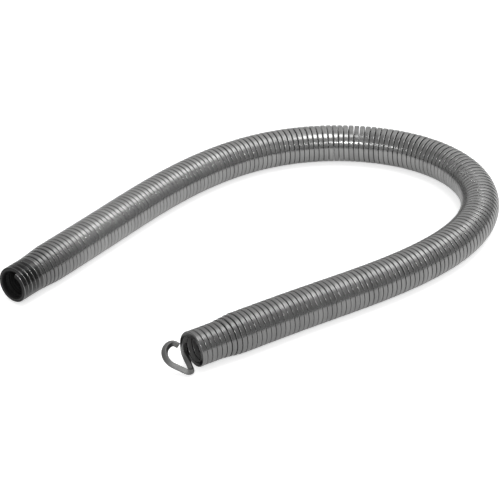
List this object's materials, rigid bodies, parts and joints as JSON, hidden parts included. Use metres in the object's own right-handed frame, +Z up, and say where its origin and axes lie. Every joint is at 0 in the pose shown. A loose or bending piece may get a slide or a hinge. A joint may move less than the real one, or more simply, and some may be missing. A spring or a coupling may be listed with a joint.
{
  "type": "tube bending spring",
  "caption": "Long close-wound spring of square steel wire, bent into a U, with one open end and one end carrying a pull eye.",
  "frame": {"origin": "the middle of the spring's footprint, on the surface that it lies on", "axes": "+Z up; the U opens towards -X and -Y, its top lies towards +X and +Y"},
  "size_m": [0.2519, 0.2292, 0.02],
  "materials": {
    "spring_steel": "ground spring wire, lightly oiled",
    "dark_spring_steel": "blackened and oily at the open tip, grey beyond it"
  },
  "bodies": {
    "coil_23": {"coil_23": "spring_steel"},
    "plain_end": {"plain_end": "dark_spring_steel"},
    "coil_01": {"coil_01": "spring_steel"},
    "coil_02": {"coil_02": "spring_steel"},
    "coil_03": {"coil_03": "spring_steel"},
    "coil_04": {"coil_04": "spring_steel"},
    "coil_05": {"coil_05": "spring_steel"},
    "coil_06": {"coil_06": "spring_steel"},
    "coil_07": {"coil_07": "spring_steel"},
    "coil_08": {"coil_08": "spring_steel"},
    "coil_09": {"coil_09": "spring_steel"},
    "coil_10": {"coil_10": "spring_steel"},
    "coil_11": {"coil_11": "spring_steel"},
    "coil_12": {"coil_12": "spring_steel"},
    "coil_13": {"coil_13": "spring_steel"},
    "coil_14": {"coil_14": "spring_steel"},
    "coil_15": {"coil_15": "spring_steel"},
    "coil_16": {"coil_16": "spring_steel"},
    "coil_17": {"coil_17": "spring_steel"},
    "coil_18": {"coil_18": "spring_steel"},
    "coil_19": {"coil_19": "spring_steel"},
    "coil_20": {"coil_20": "spring_steel"},
    "coil_21": {"coil_21": "spring_steel"},
    "coil_22": {"coil_22": "spring_steel"},
    "coil_24": {"coil_24": "spring_steel"},
    "coil_25": {"coil_25": "spring_steel"},
    "coil_26": {"coil_26": "spring_steel"},
    "coil_27": {"coil_27": "spring_steel"},
    "coil_28": {"coil_28": "spring_steel"},
    "coil_29": {"coil_29": "spring_steel"},
    "coil_30": {"coil_30": "spring_steel"},
    "coil_31": {"coil_31": "spring_steel"},
    "coil_32": {"coil_32": "spring_steel"},
    "coil_33": {"coil_33": "spring_steel"},
    "coil_34": {"coil_34": "spring_steel"},
    "coil_35": {"coil_35": "spring_steel"},
    "coil_36": {"coil_36": "spring_steel"},
    "coil_37": {"coil_37": "spring_steel"},
    "coil_38": {"coil_38": "spring_steel"},
    "coil_39": {"coil_39": "spring_steel"},
    "coil_40": {"coil_40": "spring_steel"},
    "coil_41": {"coil_41": "spring_steel"},
    "coil_42": {"coil_42": "spring_steel"},
    "coil_43": {"coil_43": "spring_steel"},
    "pull_end": {"pull_end": "spring_steel", "pull_eye": "spring_steel"}
  },
  "joints": [
    {"name": "hinge_01", "type": "hinge", "parent": "coil_01", "child": "plain_end", "pos_m": [-0.10877, -0.01843, 0.01], "axis": [0, 0, -1], "range_deg": [-0.38609, 0.15444]},
    {"name": "hinge_02", "type": "hinge", "parent": "coil_02", "child": "coil_01", "pos_m": [-0.10248, -0.00965, 0.01], "axis": [0, 0, -1], "range_deg": [-0.21216, 0.084865]},
    {"name": "hinge_03", "type": "hinge", "parent": "coil_03", "child": "coil_02", "pos_m": [-0.09622, -0.00085, 0.01], "axis": [0, 0, -1], "range_deg": [-0.22083, 0.088331]},
    {"name": "hinge_04", "type": "hinge", "parent": "coil_04", "child": "coil_03", "pos_m": [-0.09, 0.00798, 0.01], "axis": [0, 0, -1], "range_deg": [-0.2295, 0.091799]},
    {"name": "hinge_05", "type": "hinge", "parent": "coil_05", "child": "coil_04", "pos_m": [-0.08381, 0.01683, 0.01], "axis": [0, 0, -1], "range_deg": [-0.23817, 0.095268]},
    {"name": "hinge_06", "type": "hinge", "parent": "coil_06", "child": "coil_05", "pos_m": [-0.06122, 0.01432, 0.01], "axis": [0, 0, 1], "range_deg": [-0.25984, 0.10394]},
    {"name": "hinge_07", "type": "hinge", "parent": "coil_07", "child": "coil_06", "pos_m": [-0.05503, 0.02317, 0.01], "axis": [0, 0, 1], "range_deg": [-0.79, 0.31]},
    {"name": "hinge_08", "type": "hinge", "parent": "coil_08", "child": "coil_07", "pos_m": [-0.04872, 0.03193, 0.01], "axis": [0, 0, 1], "range_deg": [-1.33, 0.53]},
    {"name": "hinge_09", "type": "hinge", "parent": "coil_09", "child": "coil_08", "pos_m": [-0.04221, 0.04055, 0.01], "axis": [0, 0, 1], "range_deg": [-1.88, 0.75]},
    {"name": "hinge_10", "type": "hinge", "parent": "coil_10", "child": "coil_09", "pos_m": [-0.03542, 0.04895, 0.01], "axis": [0, 0, 1], "range_deg": [-2.45, 0.98]},
    {"name": "hinge_11", "type": "hinge", "parent": "coil_11", "child": "coil_10", "pos_m": [-0.02827, 0.05705, 0.01], "axis": [0, 0, 1], "range_deg": [-3.03, 1.21]},
    {"name": "hinge_12", "type": "hinge", "parent": "coil_12", "child": "coil_11", "pos_m": [-0.02071, 0.06476, 0.01], "axis": [0, 0, 1], "range_deg": [-3.63, 1.45]},
    {"name": "plain_arm_bend", "type": "hinge", "parent": "coil_13", "child": "coil_12", "pos_m": [-0.01268, 0.07198, 0.01], "axis": [0, 0, 1], "range_deg": [-4.49, 1.8]},
    {"name": "hinge_14", "type": "hinge", "parent": "coil_14", "child": "coil_13", "pos_m": [-0.0041, 0.07854, 0.01], "axis": [0, 0, 1], "range_deg": [-5.6, 0.28]},
    {"name": "hinge_15", "type": "hinge", "parent": "coil_15", "child": "coil_14", "pos_m": [0.00508, 0.08424, 0.01], "axis": [0, 0, 1], "range_deg": [-6.76, 0.34]},
    {"name": "hinge_16", "type": "hinge", "parent": "coil_16", "child": "coil_15", "pos_m": [0.01486, 0.08881, 0.01], "axis": [0, 0, 1], "range_deg": [-7.33, 0.37]},
    {"name": "hinge_17", "type": "hinge", "parent": "coil_17", "child": "coil_16", "pos_m": [0.02514, 0.09211, 0.01], "axis": [0, 0, 1], "range_deg": [-7.53, 0.38]},
    {"name": "hinge_18", "type": "hinge", "parent": "coil_18", "child": "coil_17", "pos_m": [0.03577, 0.09402, 0.01], "axis": [0, 0, 1], "range_deg": [-7.74, 0.39]},
    {"name": "hinge_19", "type": "hinge", "parent": "coil_19", "child": "coil_18", "pos_m": [0.04656, 0.09449, 0.01], "axis": [0, 0, 1], "range_deg": [-7.95, 0.4]},
    {"name": "hinge_20", "type": "hinge", "parent": "coil_20", "child": "coil_19", "pos_m": [0.05731, 0.09346, 0.01], "axis": [0, 0, 1], "range_deg": [-8.17, 0.41]},
    {"name": "hinge_21", "type": "hinge", "parent": "coil_21", "child": "coil_20", "pos_m": [0.06781, 0.09091, 0.01], "axis": [0, 0, 1], "range_deg": [-9.1, 0.45]},
    {"name": "hinge_22", "type": "hinge", "parent": "coil_22", "child": "coil_21", "pos_m": [0.07777, 0.08674, 0.01], "axis": [0, 0, 1], "range_deg": [-10.06, 0.5]},
    {"name": "plain_crown_bend", "type": "hinge", "parent": "coil_23", "child": "coil_22", "pos_m": [0.08685, 0.08089, 0.01], "axis": [0, 0, 1], "range_deg": [-11.07, 0.55]},
    {"name": "pull_crown_bend", "type": "hinge", "parent": "coil_23", "child": "coil_24", "pos_m": [0.09463, 0.0734, 0.01], "axis": [0, 0, -1], "range_deg": [-12.12, 0.61]},
    {"name": "hinge_25", "type": "hinge", "parent": "coil_24", "child": "coil_25", "pos_m": [0.10068, 0.06445, 0.01], "axis": [0, 0, -1], "range_deg": [-12.33, 0.62]},
    {"name": "hinge_26", "type": "hinge", "parent": "coil_25", "child": "coil_26", "pos_m": [0.10467, 0.05442, 0.01], "axis": [0, 0, -1], "range_deg": [-11.83, 0.59]},
    {"name": "hinge_27", "type": "hinge", "parent": "coil_26", "child": "coil_27", "pos_m": [0.10652, 0.04377, 0.01], "axis": [0, 0, -1], "range_deg": [-11.34, 0.57]},
    {"name": "hinge_28", "type": "hinge", "parent": "coil_27", "child": "coil_28", "pos_m": [0.10624, 0.03298, 0.01], "axis": [0, 0, -1], "range_deg": [-10.85, 0.54]},
    {"name": "hinge_29", "type": "hinge", "parent": "coil_28", "child": "coil_29", "pos_m": [0.10393, 0.02243, 0.01], "axis": [0, 0, -1], "range_deg": [-9.78, 0.49]},
    {"name": "hinge_30", "type": "hinge", "parent": "coil_29", "child": "coil_30", "pos_m": [0.09986, 0.01242, 0.01], "axis": [0, 0, -1], "range_deg": [-8.18, 0.41]},
    {"name": "hinge_31", "type": "hinge", "parent": "coil_30", "child": "coil_31", "pos_m": [0.09441, 0.0031, 0.01], "axis": [0, 0, -1], "range_deg": [-6.68, 0.33]},
    {"name": "hinge_32", "type": "hinge", "parent": "coil_31", "child": "coil_32", "pos_m": [0.08792, -0.00553, 0.01], "axis": [0, 0, -1], "range_deg": [-5.28, 0.26]},
    {"name": "hinge_33", "type": "hinge", "parent": "coil_32", "child": "coil_33", "pos_m": [0.08066, -0.01352, 0.01], "axis": [0, 0, -1], "range_deg": [-4.09, 0.2]},
    {"name": "hinge_34", "type": "hinge", "parent": "coil_33", "child": "coil_34", "pos_m": [0.07284, -0.02098, 0.01], "axis": [0, 0, -1], "range_deg": [-3.36, 0.17]},
    {"name": "pull_arm_bend", "type": "hinge", "parent": "coil_34", "child": "coil_35", "pos_m": [0.06461, -0.02797, 0.01], "axis": [0, 0, -1], "range_deg": [-2.66, 1.07]},
    {"name": "hinge_36", "type": "hinge", "parent": "coil_35", "child": "coil_36", "pos_m": [0.05605, -0.03456, 0.01], "axis": [0, 0, -1], "range_deg": [-1.99, 0.8]},
    {"name": "hinge_37", "type": "hinge", "parent": "coil_36", "child": "coil_37", "pos_m": [0.04728, -0.04086, 0.01], "axis": [0, 0, -1], "range_deg": [-1.33, 0.53]},
    {"name": "hinge_38", "type": "hinge", "parent": "coil_37", "child": "coil_38", "pos_m": [0.03836, -0.04694, 0.01], "axis": [0, 0, -1], "range_deg": [-0.6959, 0.27836]},
    {"name": "hinge_39", "type": "hinge", "parent": "coil_38", "child": "coil_39", "pos_m": [0.02936, -0.05292, 0.01], "axis": [0, 0, -1], "range_deg": [-0.078843, 0.031537]},
    {"name": "hinge_40", "type": "hinge", "parent": "coil_39", "child": "coil_40", "pos_m": [0.03141, -0.07556, 0.01], "axis": [0, 0, 1], "range_deg": [-0.52915, 0.21166]},
    {"name": "hinge_41", "type": "hinge", "parent": "coil_40", "child": "coil_41", "pos_m": [0.02246, -0.08161, 0.01], "axis": [0, 0, 1], "range_deg": [-0.58105, 0.23242]},
    {"name": "hinge_42", "type": "hinge", "parent": "coil_41", "child": "coil_42", "pos_m": [0.01358, -0.08775, 0.01], "axis": [0, 0, 1], "range_deg": [-0.39964, 0.15986]},
    {"name": "hinge_43", "type": "hinge", "parent": "coil_42", "child": "coil_43", "pos_m": [0.00474, -0.09395, 0.01], "axis": [0, 0, 1], "range_deg": [-0.21981, 0.087922]},
    {"name": "hinge_44", "type": "hinge", "parent": "coil_43", "child": "pull_end", "pos_m": [-0.00408, -0.10019, 0.01], "axis": [0, 0, 1], "range_deg": [-0.067475, 0.02699]}
  ],
  "couplings": [
    {"joint": "hinge_01", "follows": "plain_arm_bend", "ratio": 0.085913},
    {"joint": "hinge_02", "follows": "plain_arm_bend", "ratio": 0.04721},
    {"joint": "hinge_03", "follows": "plain_arm_bend", "ratio": 0.049138},
    {"joint": "hinge_04", "follows": "plain_arm_bend", "ratio": 0.051068},
    {"joint": "hinge_05", "follows": "plain_arm_bend", "ratio": 0.052998},
    {"joint": "hinge_06", "follows": "plain_arm_bend", "ratio": 0.05782},
    {"joint": "hinge_07", "follows": "plain_arm_bend", "ratio": 0.17483},
    {"joint": "hinge_08", "follows": "plain_arm_bend", "ratio": 0.29486},
    {"joint": "hinge_09", "follows": "plain_arm_bend", "ratio": 0.41803},
    {"joint": "hinge_10", "follows": "plain_arm_bend", "ratio": 0.54448},
    {"joint": "hinge_11", "follows": "plain_arm_bend", "ratio": 0.67436},
    {"joint": "hinge_12", "follows": "plain_arm_bend", "ratio": 0.80784},
    {"joint": "hinge_14", "follows": "plain_crown_bend", "ratio": 0.50601},
    {"joint": "hinge_15", "follows": "plain_crown_bend", "ratio": 0.6111},
    {"joint": "hinge_16", "follows": "plain_crown_bend", "ratio": 0.66205},
    {"joint": "hinge_17", "follows": "plain_crown_bend", "ratio": 0.68053},
    {"joint": "hinge_18", "follows": "plain_crown_bend", "ratio": 0.69918},
    {"joint": "hinge_19", "follows": "plain_crown_bend", "ratio": 0.718},
    {"joint": "hinge_20", "follows": "plain_crown_bend", "ratio": 0.7381},
    {"joint": "hinge_21", "follows": "plain_crown_bend", "ratio": 0.82192},
    {"joint": "hinge_22", "follows": "plain_crown_bend", "ratio": 0.90914},
    {"joint": "hinge_25", "follows": "pull_crown_bend", "ratio": 1.0181},
    {"joint": "hinge_26", "follows": "pull_crown_bend", "ratio": 0.9765},
    {"joint": "hinge_27", "follows": "pull_crown_bend", "ratio": 0.93579},
    {"joint": "hinge_28", "follows": "pull_crown_bend", "ratio": 0.89588},
    {"joint": "hinge_29", "follows": "pull_crown_bend", "ratio": 0.80707},
    {"joint": "hinge_30", "follows": "pull_crown_bend", "ratio": 0.67496},
    {"joint": "hinge_31", "follows": "pull_crown_bend", "ratio": 0.55139},
    {"joint": "hinge_32", "follows": "pull_crown_bend", "ratio": 0.43547},
    {"joint": "hinge_33", "follows": "pull_crown_bend", "ratio": 0.33717},
    {"joint": "hinge_34", "follows": "pull_crown_bend", "ratio": 0.27758},
    {"joint": "hinge_36", "follows": "pull_arm_bend", "ratio": 0.74601},
    {"joint": "hinge_37", "follows": "pull_arm_bend", "ratio": 0.49987},
    {"joint": "hinge_38", "follows": "pull_arm_bend", "ratio": 0.26119},
    {"joint": "hinge_39", "follows": "pull_arm_bend", "ratio": 0.029592},
    {"joint": "hinge_40", "follows": "pull_arm_bend", "ratio": 0.19861},
    {"joint": "hinge_41", "follows": "pull_arm_bend", "ratio": 0.21808},
    {"joint": "hinge_42", "follows": "pull_arm_bend", "ratio": 0.15},
    {"joint": "hinge_43", "follows": "pull_arm_bend", "ratio": 0.082499},
    {"joint": "hinge_44", "follows": "pull_arm_bend", "ratio": 0.025325}
  ]
}
